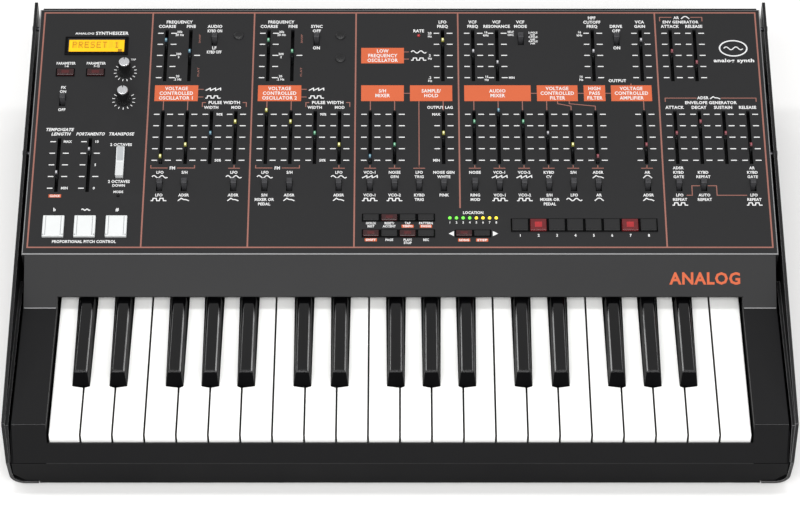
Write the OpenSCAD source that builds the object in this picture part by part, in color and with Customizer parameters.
// Three-octave analogue synthesizer: sloping slider panel above a 37-key keyboard.
// +X right, +Y back, +Z up; the origin is on the table, midway across and front to back.

/* [Case] */
// Distance between the outer faces of the cheeks
case_w = 584; // [582:1:600]
// Distance from the front edge of the rail to the back edges of the cheeks
case_d = 398; // [396:1:404]
// Height of the rubber feet
foot_h = 4; // [3.5:0.5:5]
// Height of the control panel's front edge
panel_front_z = 85; // [84:0.5:87]
// Slope of the control panel in degrees
panel_tilt = 8.75; // [8:0.25:9.5]
// Thickness of the sheet that each cheek is made of
cheek_t = 2.5; // [2:0.1:2.6]
// Height of the cheeks' upper edges above the control panel
cheek_proud = 1.4; // [0.6:0.1:2.5]
// Outer radius of the cheeks' lower edges
cheek_r = 11; // [9:0.5:12]
// Thickness of the base pan and its folded rear panel
pan_t = 1.5; // [1:0.1:1.6]
// Thickness of the control panel
panel_t = 2; // [1.5:0.1:2]
// Wall of the moulding around the keys
surround_t = 2.5; // [2:0.1:2.6]

/* [Keyboard] */
// Distance from one white key to the next
key_pitch = 23.5; // [23.3:0.05:23.5]
// Gap between neighbouring white keys
key_gap = 0.9; // [0.8:0.1:1.2]
// Height of the white keys' playing surface
key_top_z = 54; // [53:0.5:54]
// Height of the black keys above the white ones
black_rise = 11.8; // [10:0.1:11.8]
// Width of a black key at its foot
black_w = 12.8; // [12:0.1:12.8]
// Width of a black key's playing surface
black_top_w = 10; // [9:0.1:10.5]
// Distance from a white key's front edge to the foot of a black key
black_setback = 47.2; // [46:0.1:49]
// Diameter of the rod that all keys turn on
rod_d = 3; // [2.5:0.1:3]

/* [Controls] */
// Distance between the centres of neighbouring faders
fader_pitch = 19; // [18.5:0.1:19]
// Full travel of a fader
fader_travel = 44; // [40:1:45]
// Height of a fader's lit tip above the panel
fader_h = 7; // [5:0.5:9]
// Travel of a slide switch
switch_travel = 5; // [4:0.5:5]
// Height of a knob above the panel
knob_h = 14; // [12:0.5:16]
// Radius of a knob at its foot
knob_r = 5.6; // [5:0.1:6]

/* [Hidden] */
$fn = 48;
eps = 0.01;

// Keys, named by note and octave
NOTES = ["c", "cs", "d", "ds", "e", "f", "fs", "g", "gs", "a", "as", "b"];
last_key = 36;
function key_name(n) = str("key_", NOTES[n % 12], 1 + floor(n / 12));

// Main planes and edges of the case
half_w = case_w / 2;
front_y = -case_d / 2;
back_y = case_d / 2;
panel_front_y = front_y + 160;
panel_len = (back_y - 5.8 - panel_front_y) / cos(panel_tilt);
panel_half_w = half_w - cheek_t - 2.3;
fold_y = front_y + 12;
fold_z = panel_front_z - (panel_front_y - fold_y) * tan(panel_tilt);
block_back_y = panel_front_y - 34.4;
nose_z = 32;
rail_top_z = key_top_z - 7;
window_half_w = 11 * key_pitch + 1.1;
surround_half_w = half_w - 7.2;
lip_y = panel_front_y - 27;
shelf_slope = (panel_front_z - fold_z - 0.4) / (panel_front_y - 0.6 - block_back_y);
lip_z = fold_z + (lip_y - block_back_y) * shelf_slope;
rear_wall_y = back_y - 5;
rear_wall_top_z = panel_front_z + (panel_len - 8) * sin(panel_tilt);
side_lean = 2.4;

// Screws that hold the cheeks: places along the panel, and along the base pan's sides
flange_depth = 16;
flange_screw_t = [100, 222];
flange_screw_h = -9;
pan_screw_y = [-150, 0, 150];
pan_screw_z = 34;
screw_r = 1.9;
screw_hole_r = 2.1;
pan_hole_r = 2.4;

// Key action
key_front_y = front_y + 8.5;
key_wall = 1.6;
black_foot_y = key_front_y + black_setback;
slot_half = black_w / 2 + 0.8;
tail_end_y = -8;
hub_end_y = 8;
hub_w = 8;
pivot_y = 2;
pivot_z = 44;
chassis_z = 18;
black_back_y = lip_y + 5;

// Control layout: places across the panel (x) and up its slope (t)
section_x = [-197, -116, -35, 46, 203];
column_inset = 11.8;
left_columns = [-264.5, -240.5, -216.5];
row_top = 189;
row_bottom = 109.3;
row_left = 83;
slot_len = 51;
slot_w = 2.8;
switch_row_top = 204.5;
switch_row_bottom = 63.5;
switch_slot = [4.8, 10.6];
board_h = -12;
board_t = 1.6;
function column_x(section, column) =
    section < 0 ? left_columns[column] : section_x[section] + column_inset + column * fader_pitch;
function row_t(section, row) = section < 0 ? row_left : row == 0 ? row_top : row_bottom;

// Faders by level: each is [section, column, row]
FADERS = [
    [[0, 0, 1], [2, 0, 1], [3, 5, 1]],
    [[-1, 0, 0], [0, 1, 1], [1, 3, 1], [2, 1, 1], [3, 1, 0], [3, 4, 1], [3, 7, 1], [4, 1, 0], [4, 3, 1]],
    [[0, 1, 0], [0, 2, 1], [1, 1, 0], [1, 2, 1], [2, 3, 1], [3, 0, 0], [3, 5, 0], [3, 3, 1], [4, 0, 0],
     [4, 0, 1], [4, 2, 1]],
    [[-1, 1, 0], [0, 0, 0], [0, 3, 1], [1, 0, 0], [1, 1, 1], [2, 3, 0], [3, 7, 0], [3, 0, 1], [3, 2, 1],
     [4, 1, 1]],
    [[1, 0, 1], [3, 1, 1]]
];

// Slide switches: the bottom row's [section, columns], then the places of the others
SWITCH_COLUMNS = [[0, [0, 1, 3]], [1, [0, 1, 3]], [2, [0, 1, 2, 3]],
    [3, [0, 1, 2, 3, 4, 5, 7]], [4, [0, 1, 3]]];
SWITCHES = concat(
    [for (s = SWITCH_COLUMNS) for (c = s[1]) [column_x(s[0], c), switch_row_bottom]],
    [for (s = [[0, 2], [1, 2], [3, 2], [3, 6]]) [column_x(s[0], s[1]), switch_row_top]],
    [[left_columns[0], 144.7]]
);

// Push buttons: [x, t, width, length]
button_pitch = 14;
BUTTONS = concat(
    [for (x = [-263.8, -240]) [x, 172, 13, 6]],
    [for (t = [18.9, 33.4]) for (k = [0 : 3]) [-22.2 + k * button_pitch, t, 12, 5.6]],
    [for (k = [0 : 1]) [48.8 + k * 13.7, 18.9, 12, 5]],
    [for (k = [0 : 7]) [91.6 + k * button_pitch, 26.5, 12.2, 10.6]]
);

// Knobs, pads, rocker, display, lamps and plugs: [x, t]
encoder_at = [left_columns[2], 172.5];
scroll_at = [left_columns[2], 145];
shaft_r = 3;
pad_t = 25.2;
pad_size = [16.4, 19.1];
rocker_at = [left_columns[2], 85];
rocker_size = [6.2, 27.2];
display_at = [-240.4, 198.1];
bezel_size = [50, 17.6];
screen_size = [44.2, 14.1];
LAMPS = concat(
    [for (k = [0 : 7]) [38.1 + k * 5.06, 33.3]],
    [[column_x(2, 2), 208.8], [left_columns[2], 54]]
);
PLUGS = [[column_x(0, 3), 208.5], [column_x(1, 3), 208.5], [column_x(1, 3), 185.8]];

// Rear connectors: [x] places of each kind, all on one line
rear_line_z = 84;
BIG_JACKS = [-226, -202, -178, -154, -118, -94];
SMALL_JACKS = [-58, -40, -22, -4, 14, 32];
DIN_SOCKETS = [64, 92, 120];
usb_x = 150;
inlet_x = 232;
power_x = 192;
big_bore_r = 3.25;
small_bore_r = 1.8;
feet_at = [[-250, -170], [250, -170], [-250, 170], [250, 170], [0, -170], [0, 170]];

// ---- Shared shapes ----

function unit(v) = v / norm(v);
function normal(a, b) = let (d = unit(b - a)) [-d[1], d[0]];
// Direction of the corner at point i of a path, as long as a sheet of unit thickness needs
function corner(path, i) =
    i == 0 ? normal(path[0], path[1])
    : i == len(path) - 1 ? normal(path[i - 1], path[i])
    : let (a = normal(path[i - 1], path[i]), b = normal(path[i], path[i + 1])) (a + b) / (1 + a * b);
// Outline of a sheet of thickness t that follows a path
function sheet(path, t) =
    concat(path, [for (i = [len(path) - 1 : -1 : 0]) path[i] + t * corner(path, i)]);

// Extrude a Y-Z outline along X, or an X-Z outline along Y
module along_x(x0, x1) {
    translate([x0, 0, 0]) rotate([90, 0, 90]) linear_extrude(x1 - x0) children();
}
module along_y(y0, y1) {
    translate([0, y1, 0]) rotate([90, 0, 0]) linear_extrude(y1 - y0) children();
}
// A block given by its two opposite corners
module block(low, high) {
    translate(low) cube(high - low);
}
// Place something on the control panel: t along the slope, h above its surface
module on_panel(at, h = 0) {
    translate([0, panel_front_y, panel_front_z]) rotate([panel_tilt, 0, 0])
        translate([at[0], at[1], h]) children();
}
// An upright block on the panel, centred on its place
module panel_block(at, size, h0, h1) {
    on_panel(at) translate([-size[0] / 2, -size[1] / 2, h0]) cube([size[0], size[1], h1 - h0]);
}
// Cylinders along X and along Y
module rod_x(r, x0, x1, y, z) {
    translate([x0, y, z]) rotate([0, 90, 0]) cylinder(r = r, h = x1 - x0);
}
module rod_y(r, y0, y1, x, z) {
    translate([x, y0, z]) rotate([-90, 0, 0]) cylinder(r = r, h = y1 - y0);
}

// ---- Case ----

// Half outline of the case seen from the front, set in by a distance
function cheek_path(inset) = let (r = cheek_r - inset, x = half_w - side_lean - cheek_r) concat(
    [[half_w - inset, 150], [half_w - inset, fold_z]],
    [for (a = [0 : 10 : 90]) [x + r * cos(a), foot_h + cheek_r - r * sin(a)]],
    [[x - 10, foot_h + inset]]
);
// Outline of a cheek seen from the side
function cheek_side() = [
    [front_y + 3.5, foot_h - 1],
    [front_y, nose_z],
    [fold_y - 0.5, fold_z + cheek_proud],
    [back_y, fold_z + cheek_proud + (back_y - fold_y) * tan(panel_tilt)],
    [back_y, foot_h - 1]
];
module cheek_rib() {
    path = [[front_y + 1, nose_z], [fold_y, fold_z - 1], [panel_front_y - 6, fold_z - 1]];
    along_x(half_w - 4.8, half_w - cheek_t + 0.1) polygon(sheet(path, -2.4));
}
module cheek() {
    difference() {
        union() {
            intersection() {
                along_y(front_y - 1, back_y + 1) polygon(sheet(cheek_path(0), -cheek_t));
                along_x(half_w - 30, half_w + 1) polygon(cheek_side());
            }
            cheek_rib();
        }
        for (t = flange_screw_t)
            on_panel([half_w - 6, t], flange_screw_h) rotate([0, 90, 0]) cylinder(r = screw_hole_r, h = 12);
        for (y = pan_screw_y)
            rod_x(screw_hole_r, half_w - 12, half_w + 1, y, pan_screw_z);
    }
}
module right_cheek() {
    color("#2b2b2c") cheek();
}
module left_cheek() {
    color("#2b2b2c") mirror([1, 0, 0]) cheek();
}

// Base pan: a tray with a leaning front wall, side walls and a tall rear panel
pan_floor_z = foot_h + cheek_t + 0.2;
pan_side_x = half_w - side_lean - cheek_t - 0.5;
pan_side_top_z = 54;
pan_front_top_z = nose_z - 1.6;
rear_half_w = pan_side_x - pan_t - 0.1;
rear_seam_z = pan_floor_z + 13;
function pan_path() = [
    [-pan_side_x, pan_side_top_z], [-pan_side_x, pan_floor_z + 9.4], [-pan_side_x + 9.4, pan_floor_z],
    [pan_side_x - 9.4, pan_floor_z], [pan_side_x, pan_floor_z + 9.4], [pan_side_x, pan_side_top_z]
];
module front_wall() {
    intersection() {
        along_y(front_y - 1, front_y + 12) polygon([
            [-pan_side_x, pan_front_top_z], [-pan_side_x, pan_floor_z + 9.4],
            [-pan_side_x + 9.4, pan_floor_z],
            [-half_w + 24.2, pan_floor_z], [-half_w + 24.2, foot_h], [half_w - 24.2, foot_h],
            [half_w - 24.2, pan_floor_z], [pan_side_x - 9.4, pan_floor_z], [pan_side_x, pan_floor_z + 9.4],
            [pan_side_x, pan_front_top_z]
        ]);
        along_x(-half_w, half_w)
            polygon(sheet([[front_y + 4, foot_h - 1], [front_y + 0.6, nose_z]], -pan_t));
    }
}
module rear_cutouts() {
    for (x = BIG_JACKS) rod_y(5.2, rear_wall_y - 5, rear_wall_y + 5, x, rear_line_z);
    for (x = SMALL_JACKS) rod_y(3.6, rear_wall_y - 5, rear_wall_y + 5, x, rear_line_z);
    for (x = DIN_SOCKETS) rod_y(8.2, rear_wall_y - 5, rear_wall_y + 5, x, rear_line_z);
    block([usb_x - 6.5, rear_wall_y - 5, rear_line_z - 6], [usb_x + 6.5, rear_wall_y + 5, rear_line_z + 6]);
    block([inlet_x - 14, rear_wall_y - 5, rear_line_z - 10.2],
        [inlet_x + 14, rear_wall_y + 5, rear_line_z + 10.2]);
    block([power_x - 10, rear_wall_y - 5, rear_line_z - 6.7],
        [power_x + 10, rear_wall_y + 5, rear_line_z + 6.7]);
}
module base_pan() {
    color("#242425") difference() {
        union() {
            intersection() {
                along_y(front_y, rear_wall_y + pan_t) polygon(sheet(pan_path(), pan_t));
                along_x(-half_w, half_w) polygon([
                    [front_y + 4.6, foot_h], [front_y + 1.2, pan_front_top_z],
                    [fold_y + 1, pan_side_top_z + 1],
                    [back_y, pan_side_top_z + 1], [back_y, foot_h]
                ]);
            }
            front_wall();
            block([-pan_side_x + 9.4, rear_wall_y, pan_floor_z],
                [pan_side_x - 9.4, rear_wall_y + pan_t, rear_seam_z]);
            block([-rear_half_w, rear_wall_y, rear_seam_z + 0.1],
                [rear_half_w, rear_wall_y + pan_t, rear_wall_top_z]);
        }
        rear_cutouts();
        for (y = pan_screw_y) {
            rod_x(pan_hole_r, pan_side_x - 3, pan_side_x + 1, y, pan_screw_z);
            rod_x(pan_hole_r, -pan_side_x - 1, -pan_side_x + 3, y, pan_screw_z);
        }
        for (at = feet_at)
            translate([at[0], at[1], pan_floor_z - 1]) cylinder(r = 2, h = 4);
        // Cooling slots
        for (side = [-1, 1]) for (k = [0 : 11])
            block([side * 150 - 40, 60 + k * 7, pan_floor_z - 1],
                [side * 150 + 40, 63 + k * 7, pan_floor_z + 3]);
    }
}

// Sheet-metal control panel with folded side flanges and a short folded front edge
module panel_outline() {
    difference() {
        translate([-panel_half_w, 0]) square([2 * panel_half_w, panel_len]);
        for (level = FADERS) for (f = level)
            translate([column_x(f[0], f[1]), row_t(f[0], f[2])]) square([slot_w, slot_len], center = true);
        for (s = SWITCHES) translate(s) square(switch_slot, center = true);
        for (b = BUTTONS) translate([b[0], b[1]]) square([b[2] + 0.8, b[3] + 0.8], center = true);
        for (x = left_columns) translate([x, pad_t]) square(pad_size + [0.8, 0.8], center = true);
        translate(rocker_at) square(rocker_size + [0.8, 2.2], center = true);
        translate(display_at) square(screen_size + [3, 2], center = true);
        translate(encoder_at) circle(r = 4);
        translate(scroll_at) circle(r = 4);
        for (l = LAMPS) translate(l) circle(r = 1.3, $fn = 12);
    }
}
module control_panel() {
    color("#3d3d3f") {
        difference() {
            union() {
                on_panel([0, 0], -panel_t) linear_extrude(panel_t) panel_outline();
                for (x = [-panel_half_w, panel_half_w - 1.5])
                    on_panel([x, 0], -flange_depth) cube([1.5, panel_len, flange_depth - panel_t / 2]);
                on_panel([-panel_half_w, 0], -6) cube([2 * panel_half_w, 1.5, 5]);
            }
            for (t = flange_screw_t) for (x = [-panel_half_w - 1, panel_half_w - 3])
                on_panel([x, t], flange_screw_h) rotate([0, 90, 0]) cylinder(r = 2, h = 4);
        }
        for (p = PLUGS)
            on_panel(p, -0.1) rotate_extrude() polygon([[0, 0], [4, 0], [3.6, 0.9], [2.2, 1.3], [0, 1.4]]);
    }
}

// Moulding around the keys: two side blocks, the shelf behind the keys and the front rail
block_path = [[front_y, nose_z], [fold_y, fold_z], [block_back_y, fold_z],
    [panel_front_y - 0.6, panel_front_z - 0.4]];
module side_block() {
    difference() {
        along_x(window_half_w, surround_half_w) polygon(sheet(block_path, -surround_t));
        block([window_half_w - 1, panel_front_y - 0.6, panel_front_z - 10],
              [surround_half_w + 1, panel_front_y + 4, panel_front_z + 4]);
    }
    along_x(window_half_w, window_half_w + 2) polygon(concat(
        block_path,
        [[panel_front_y - 0.6, panel_front_z - 20], [lip_y, fold_z - 4],
        [lip_y, 34], [front_y + 2.6, nose_z]]
    ));
}
module key_surround() {
    color("#303031") union() {
        side_block();
        mirror([1, 0, 0]) side_block();
        along_x(-window_half_w - 1, window_half_w + 1) polygon([
            [lip_y, lip_z], [panel_front_y - 0.6, panel_front_z - 0.4],
            [panel_front_y - 0.6, panel_front_z - 3.4], [lip_y + 0.8, lip_z - 1.8]
        ]);
        along_x(-window_half_w - 1, window_half_w + 1) polygon([
            [front_y, nose_z], [front_y + 6, rail_top_z], [key_front_y - 1, rail_top_z],
            [key_front_y - 1, nose_z - 1.3], [front_y + 0.5, nose_z - 1.3]
        ]);
    }
}

// Rubber feet with a recess for the screw head
module rubber_feet() {
    color("#18181a") for (at = feet_at)
        translate([at[0], at[1], 0]) difference() {
            cylinder(r1 = 9, r2 = 10, h = pan_floor_z - 0.05);
            translate([0, 0, -1]) cylinder(r = 4, h = 4);
            translate([0, 0, 1]) cylinder(r = 2, h = 8);
        }
}

// A pan-head screw along +Z, its head's underside at z = 0 and its shank below
module screw(head_r, shank) {
    difference() {
        union() {
            translate([0, 0, -shank]) cylinder(r = screw_r, h = shank + eps);
            cylinder(r1 = head_r, r2 = head_r * 0.72, h = 1.5);
        }
        translate([-0.4, -head_r * 0.55, 0.8]) cube([0.8, head_r * 1.1, 1]);
        translate([-head_r * 0.55, -0.4, 0.8]) cube([head_r * 1.1, 0.8, 1]);
    }
}
module case_screws() {
    lean = atan(side_lean / (fold_z - foot_h - cheek_r));
    side_x = half_w - side_lean * (fold_z - pan_screw_z) / (fold_z - foot_h - cheek_r);
    color("#8c8c90") {
        for (side = [0, 1]) mirror([side, 0, 0]) {
            for (t = flange_screw_t)
                on_panel([half_w + 0.02, t], flange_screw_h) rotate([0, 90, 0]) screw(3.4, 7);
            for (y = pan_screw_y)
                translate([side_x + 0.15, y, pan_screw_z]) rotate([0, 90 + lean, 0]) screw(3.4, 7);
        }
        for (at = feet_at)
            translate([at[0], at[1], 1 - 0.02 + 2]) rotate([180, 0, 0]) screw(3.4, 8);
    }
}

// ---- Inside ----

// Metal-cased slide potentiometer and slide switch bodies, open on top for their levers
module fader_body(at) {
    difference() {
        panel_block(at, [8, 60], board_h + board_t - 0.2, -3);
        panel_block(at, [3.6, slot_len + 1], board_h + board_t + 1, 0);
    }
}
module switch_body(at) {
    difference() {
        panel_block(at, [9, 16], board_h + board_t - 0.2, -3);
        panel_block(at, [5.2, 11.4], board_h + board_t + 1, 0);
    }
}
// Rotary control body with a threaded bushing around the shaft
module rotary_body(at) {
    difference() {
        union() {
            panel_block(at, [12, 12], board_h + board_t - 0.2, -5);
            on_panel(at, -5.1) cylinder(r = 3.7, h = 4.6);
        }
        on_panel(at, board_h + board_t + 0.6) cylinder(r = shaft_r + 0.06, h = 12);
    }
}
module circuit_boards() {
    color("#2f6b3f") {
        // Board behind the panel
        on_panel([-278, 8], board_h) cube([556, panel_len - 20, board_t]);
        for (level = FADERS) for (f = level)
            fader_body([column_x(f[0], f[1]), row_t(f[0], f[2])]);
        for (s = SWITCHES) switch_body(s);
        for (b = BUTTONS) panel_block([b[0], b[1]], [6, 4.6], board_h + board_t - 0.2, -6.2);
        for (x = left_columns) panel_block([x, pad_t], [12, 12], board_h + board_t - 0.2, -7);
        rotary_body(encoder_at);
        rotary_body(scroll_at);
        for (l = LAMPS) on_panel(l, board_h + board_t - 0.2) cylinder(r = 1.1, h = 11.2, $fn = 12);
        // Connector board behind the rear panel, and the power board
        block([-246, rear_wall_y - 56, rear_line_z - 14], [170, rear_wall_y - 1.2, rear_line_z - 12.4]);
        block([180, rear_wall_y - 76, 16], [270, rear_wall_y - 16, 17.6]);
        block([190, rear_wall_y - 66, 17.5], [222, rear_wall_y - 34, 40]);
        for (x = [236, 254]) translate([x, rear_wall_y - 50, 17.5]) cylinder(r = 7, h = 22);
    }
}

// Pressed-steel chassis that carries the keys: tray, guide posts, comb and pivot rod
function finger_x(i) = i == 0 ? key_hub_x(0) - 7 : i > last_key ? key_hub_x(last_key) + 7
    : (key_hub_x(i - 1) + key_hub_x(i)) / 2;
module return_spring(x) {
    translate([x, tail_end_y - 14, chassis_z + 1.4]) difference() {
        cylinder(r = 2.6, h = 16);
        translate([0, 0, 1]) cylinder(r = 1.8, h = 16);
    }
}
module keybed_chassis() {
    color("#9a9da2") {
        union() {
            block([-11 * key_pitch, key_front_y + 2, chassis_z], [11 * key_pitch, 12, chassis_z + 1.5]);
            for (side = [-1, 1])
                block([side * 236 - 6, key_front_y + 10, pan_floor_z + pan_t],
                    [side * 236 + 6, 8, chassis_z + 0.1]);
            for (i = [0 : last_key + 1])
                block([finger_x(i) - 0.8, pivot_y - 4, chassis_z + 1],
                    [finger_x(i) + 0.8, pivot_y + 4, pivot_z + 4]);
            rod_x(rod_d / 2, finger_x(0) - 4, finger_x(last_key + 1) + 4, pivot_y, pivot_z);
            for (n = [0 : last_key]) {
                guide_y = is_black(n) ? black_foot_y + 16 : key_front_y + 22;
                block([key_head_x(n) - 1.7, guide_y - 5, chassis_z + 1],
                    [key_head_x(n) + 1.7, guide_y + 5, 39]);
            }
        }
        for (n = [0 : last_key]) return_spring(key_hub_x(n));
        // Felt strip under the key fronts, and the contact board
        block([-11 * key_pitch, key_front_y + 3, chassis_z + 1.45],
            [11 * key_pitch, key_front_y + 9, chassis_z + 3.4]);
        block([-11 * key_pitch, -105, chassis_z + 1.45], [11 * key_pitch, -75, chassis_z + 3.2]);
    }
}

// ---- Keys ----

function is_black(n) = len(search(n % 12, [1, 3, 6, 8, 10])) > 0;
// Whites to the left of a key within its octave
function whites_before(n) = [0, 1, 1, 2, 2, 3, 4, 4, 5, 5, 6, 6][n % 12];
// Distance of a black key from the line between the two whites beside it
function black_shift(n) = lookup(n % 12, [[1, -2.1], [3, 2.1], [6, -3.1], [8, 0], [10, 3.1]]);
function key_left(n) = (7 * floor(n / 12) + whites_before(n) - 11) * key_pitch;
function black_x(n) = key_left(n) + black_shift(n);
// Sides of a white key's narrow tail
function tail_left(n) = is_black(n + 11) ? black_x(n - 1) + slot_half : key_left(n) + key_gap / 2;
function tail_right(n) = n < last_key && is_black(n + 1) ? black_x(n + 1) - slot_half
    : key_left(n) + key_pitch - key_gap / 2;
function key_hub_x(n) = is_black(n) ? black_x(n) : (tail_left(n) + tail_right(n)) / 2;
function key_head_x(n) = is_black(n) ? black_x(n) : key_left(n) + key_pitch / 2;

// Rear end of a key: a narrow hub with a bore for the rod
module key_hub(x) {
    block([x - hub_w / 2, tail_end_y - 2, pivot_z - 5], [x + hub_w / 2, hub_end_y, pivot_z + 5]);
}
module white_key(n) {
    left = key_left(n) + key_gap / 2;
    right = key_left(n) + key_pitch - key_gap / 2;
    head_end = black_foot_y - 1;
    under = key_top_z - 2.4;
    color("#f2f1ec") difference() {
        union() {
            block([left, key_front_y, key_top_z - 21], [right, key_front_y + key_wall, key_top_z]);
            block([left, key_front_y, key_top_z - 14], [right, head_end, key_top_z]);
            block([tail_left(n), head_end - 2, key_top_z - 14],
                [tail_right(n), tail_end_y, key_top_z - 0.02]);
            key_hub(key_hub_x(n));
        }
        block([left + key_wall, key_front_y + key_wall, 0], [right - key_wall, head_end - key_wall, under]);
        block([tail_left(n) + key_wall, head_end - 3, 0],
            [tail_right(n) - key_wall, tail_end_y - 22, under]);
        rod_x(rod_d / 2 + 0.06, left - 5, right + 5, pivot_y, pivot_z);
    }
}
module black_key(n) {
    x = black_x(n);
    top = key_top_z + black_rise;
    color("#1d1d1e") difference() {
        union() {
            // Cap with sloping front and sides
            intersection() {
                along_x(x - black_w / 2, x + black_w / 2) polygon([
                    [black_foot_y, key_top_z - 6], [black_foot_y, key_top_z + 0.5],
                    [black_foot_y + 5.4, top],
                    [black_back_y, top - 2.6], [black_back_y, key_top_z - 6]
                ]);
                along_y(black_foot_y - 1, black_back_y + 1) polygon([
                    [x - black_w / 2, key_top_z - 8], [x - black_w / 2, key_top_z],
                    [x - black_top_w / 2, top], [x + black_top_w / 2, top],
                    [x + black_w / 2, key_top_z], [x + black_w / 2, key_top_z - 8]
                ]);
            }
            block([x - black_w / 2, black_foot_y, key_top_z - 14],
                [x + black_w / 2, tail_end_y, key_top_z - 4]);
            key_hub(x);
        }
        block([x - black_w / 2 + key_wall, black_foot_y + key_wall + 2, 0],
              [x + black_w / 2 - key_wall, tail_end_y - 22, key_top_z - 6.4]);
        rod_x(rod_d / 2 + 0.06, x - 10, x + 10, pivot_y, pivot_z);
    }
}
module key(n) {
    if (is_black(n)) black_key(n);
    else white_key(n);
}

// ---- Moving controls ----

// Lit fader levers that stand at one level, from 0 at the bottom of the scale to 4 at the top
module fader_group(level) {
    color("#d8d060") for (f = FADERS[level]) {
        at = [column_x(f[0], f[1]), row_t(f[0], f[2]) + (level / 4 - 0.5) * fader_travel];
        panel_block(at, [1.6, 4.4], board_h + board_t + 1.4, 1);
        panel_block(at, [2.4, 3.2], 0.9, fader_h);
    }
}
module faders_at_0() { fader_group(0); }
module faders_at_25() { fader_group(1); }
module faders_at_50() { fader_group(2); }
module faders_at_75() { fader_group(3); }
module faders_at_100() { fader_group(4); }

module slide_switches() {
    color("#4a4a4c") for (s = SWITCHES) {
        at = [s[0], s[1] + switch_travel / 2];
        panel_block(at, [4.2, 4.6], board_h + board_t + 1.4, 3.6);
        panel_block(at, [4.2, 1.2], 3.5, 4.4);
    }
}
module push_buttons() {
    color("#47474a") for (b = BUTTONS) {
        panel_block([b[0], b[1]], [b[2], b[3]], -4.6, 1.6);
        panel_block([b[0], b[1]], [3, 3], -5, -4.5);
    }
}
module pitch_pads() {
    color("#e9e9e6") for (x = left_columns)
        difference() {
            panel_block([x, pad_t], pad_size, -5, 2.2);
            panel_block([x, pad_t], pad_size - [3.2, 3.2], -6, 0.4);
        }
}
// Three-way rocker on two short pivot pins, with its axis across the panel
module transpose_rocker() {
    half = rocker_size[1] / 2;
    color("#e9e9e6") on_panel(rocker_at) rotate([90, 0, 90]) union() {
        linear_extrude(rocker_size[0], center = true)
            polygon([[-half, -3.4], [-half, 3.2], [0, 1.2], [half, 3.2], [half, -3.4], [3, -7], [-3, -7]]);
        translate([0, -5]) cylinder(r = 1.2, h = rocker_size[0] + 2, center = true);
    }
}

module knob(at) {
    on_panel(at) rotate_extrude() polygon([
        [0, -9], [shaft_r, -9], [shaft_r, 0.8], [knob_r, 0.8], [knob_r, 2],
        [knob_r - 0.8, knob_h - 0.6], [knob_r - 1.4, knob_h], [0, knob_h]
    ]);
}
module encoder_knob() {
    color("#c9c9cc") knob(encoder_at);
}
module scroll_knob() {
    color("#c9c9cc") knob(scroll_at);
}

// Display: bezel on the panel and the module beneath it
module display() {
    color("#e8a91c") {
        difference() {
            panel_block(display_at, bezel_size, 0.05, 1.3);
            panel_block(display_at, screen_size, 0.6, 2);
        }
        panel_block(display_at, screen_size + [2, 1], board_h + board_t + 0.1, 0.1);
    }
}

// ---- Rear ----

// A jack socket with its bushing and nut through the rear panel
module jack(x, bore_r, bush_r, body_w, depth) {
    color("#1b1b1c") difference() {
        union() {
            block([x - body_w / 2, rear_wall_y - depth - 3, rear_line_z - body_w / 2 - 0.1],
                  [x + body_w / 2, rear_wall_y - 0.2, rear_line_z + body_w / 2]);
            rod_y(bush_r, rear_wall_y - 0.3, rear_wall_y + 4.4, x, rear_line_z);
            rod_y(bush_r + 1.9, rear_wall_y + pan_t + 0.05, rear_wall_y + pan_t + 1.6,
                x, rear_line_z, $fn = 12);
        }
        rod_y(bore_r, rear_wall_y - depth, rear_wall_y + 5, x, rear_line_z);
    }
}
module din_socket(x) {
    difference() {
        union() {
            block([x - 9, rear_wall_y - 14, rear_line_z - 9], [x + 9, rear_wall_y - 0.2, rear_line_z + 9]);
            rod_y(8, rear_wall_y - 0.3, rear_wall_y + pan_t + 0.4, x, rear_line_z);
        }
        difference() {
            rod_y(7, rear_wall_y - 9, rear_wall_y + 5, x, rear_line_z);
            rod_y(5.6, rear_wall_y - 10, rear_wall_y + 0.4, x, rear_line_z);
        }
    }
}
module usb_socket() {
    difference() {
        block([usb_x - 6.1, rear_wall_y - 14, rear_line_z - 5.6],
            [usb_x + 6.1, rear_wall_y + 1.6, rear_line_z + 5.6]);
        difference() {
            block([usb_x - 4.3, rear_wall_y - 10, rear_line_z - 4],
                [usb_x + 4.3, rear_wall_y + 5, rear_line_z + 4]);
            block([usb_x - 2.8, rear_wall_y - 11, rear_line_z - 1.6],
                [usb_x + 2.8, rear_wall_y, rear_line_z + 1.6]);
        }
    }
}
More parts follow.
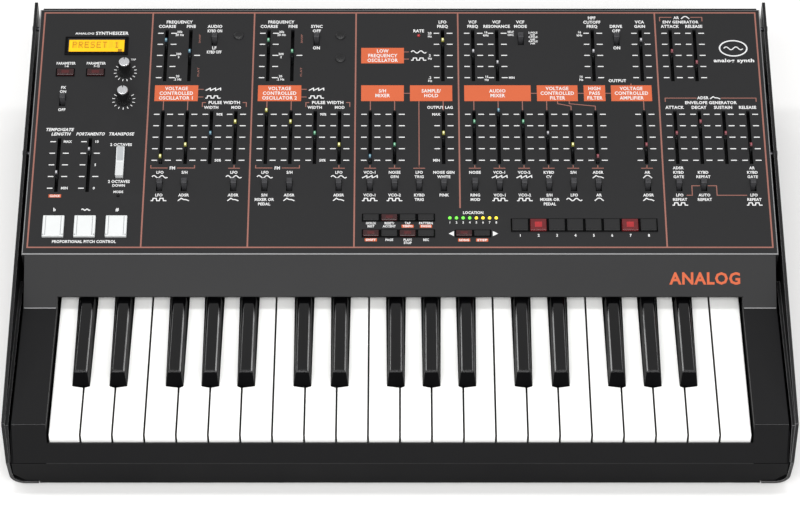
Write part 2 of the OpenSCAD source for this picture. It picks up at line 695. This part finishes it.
module mains_inlet() {
    difference() {
        union() {
            block([inlet_x - 13.6, rear_wall_y - 22, rear_line_z - 9.8],
                [inlet_x + 13.6, rear_wall_y + 1.6, rear_line_z + 9.8]);
            block([inlet_x - 19, rear_wall_y + pan_t + 0.05, rear_line_z - 12],
                [inlet_x + 19, rear_wall_y + 3.6, rear_line_z + 12]);
        }
        along_y(rear_wall_y - 16, rear_wall_y + 5) polygon([
            [inlet_x - 12, rear_line_z - 8], [inlet_x + 12, rear_line_z - 8],
            [inlet_x + 12, rear_line_z + 3],
            [inlet_x + 7, rear_line_z + 8], [inlet_x - 7, rear_line_z + 8], [inlet_x - 12, rear_line_z + 3]
        ]);
    }
    for (p = [[-7, -2], [0, 2], [7, -2]])
        block([inlet_x + p[0] - 1, rear_wall_y - 17, rear_line_z + p[1] - 2],
            [inlet_x + p[0] + 1, rear_wall_y, rear_line_z + p[1] + 2]);
}
module power_frame() {
    difference() {
        union() {
            block([power_x - 9.6, rear_wall_y - 14, rear_line_z - 6.3],
                [power_x + 9.6, rear_wall_y + 1.6, rear_line_z + 6.3]);
            block([power_x - 11, rear_wall_y + pan_t + 0.05, rear_line_z - 7.6],
                [power_x + 11, rear_wall_y + 3, rear_line_z + 7.6]);
        }
        block([power_x - 8.4, rear_wall_y - 11, rear_line_z - 5.2],
            [power_x + 8.4, rear_wall_y + 6, rear_line_z + 5.2]);
    }
}
module rear_connectors() {
    color("#1b1b1c") {
        for (x = BIG_JACKS) jack(x, big_bore_r, 5, 15, 24);
        for (x = SMALL_JACKS) jack(x, small_bore_r, 3.4, 9, 13);
        for (x = DIN_SOCKETS) din_socket(x);
        usb_socket();
        mains_inlet();
        power_frame();
    }
}
// On-off rocker with short pivot pins, drawn in its off position
power_tilt = 7;
power_pivot_in = 4;
module power_rocker() {
    half = 7.2;
    color("#202022") translate([power_x, rear_wall_y - power_pivot_in, rear_line_z])
        rotate([0, 0, power_tilt]) union() {
        linear_extrude(9.6, center = true)
            polygon([[-half, 7.6], [0, 6.2], [half, 7.6], [half, 2], [2.5, -4], [-2.5, -4], [-half, 2]]);
        cylinder(r = 1.2, h = 10.2, center = true);
    }
}

for (n = [0 : last_key])
    key(n);
base_pan();
left_cheek();
right_cheek();
control_panel();
key_surround();
circuit_boards();
keybed_chassis();
display();
rear_connectors();
case_screws();
rubber_feet();
faders_at_0();
faders_at_25();
faders_at_50();
faders_at_75();
faders_at_100();
slide_switches();
push_buttons();
transpose_rocker();
pitch_pads();
encoder_knob();
scroll_knob();
power_rocker();
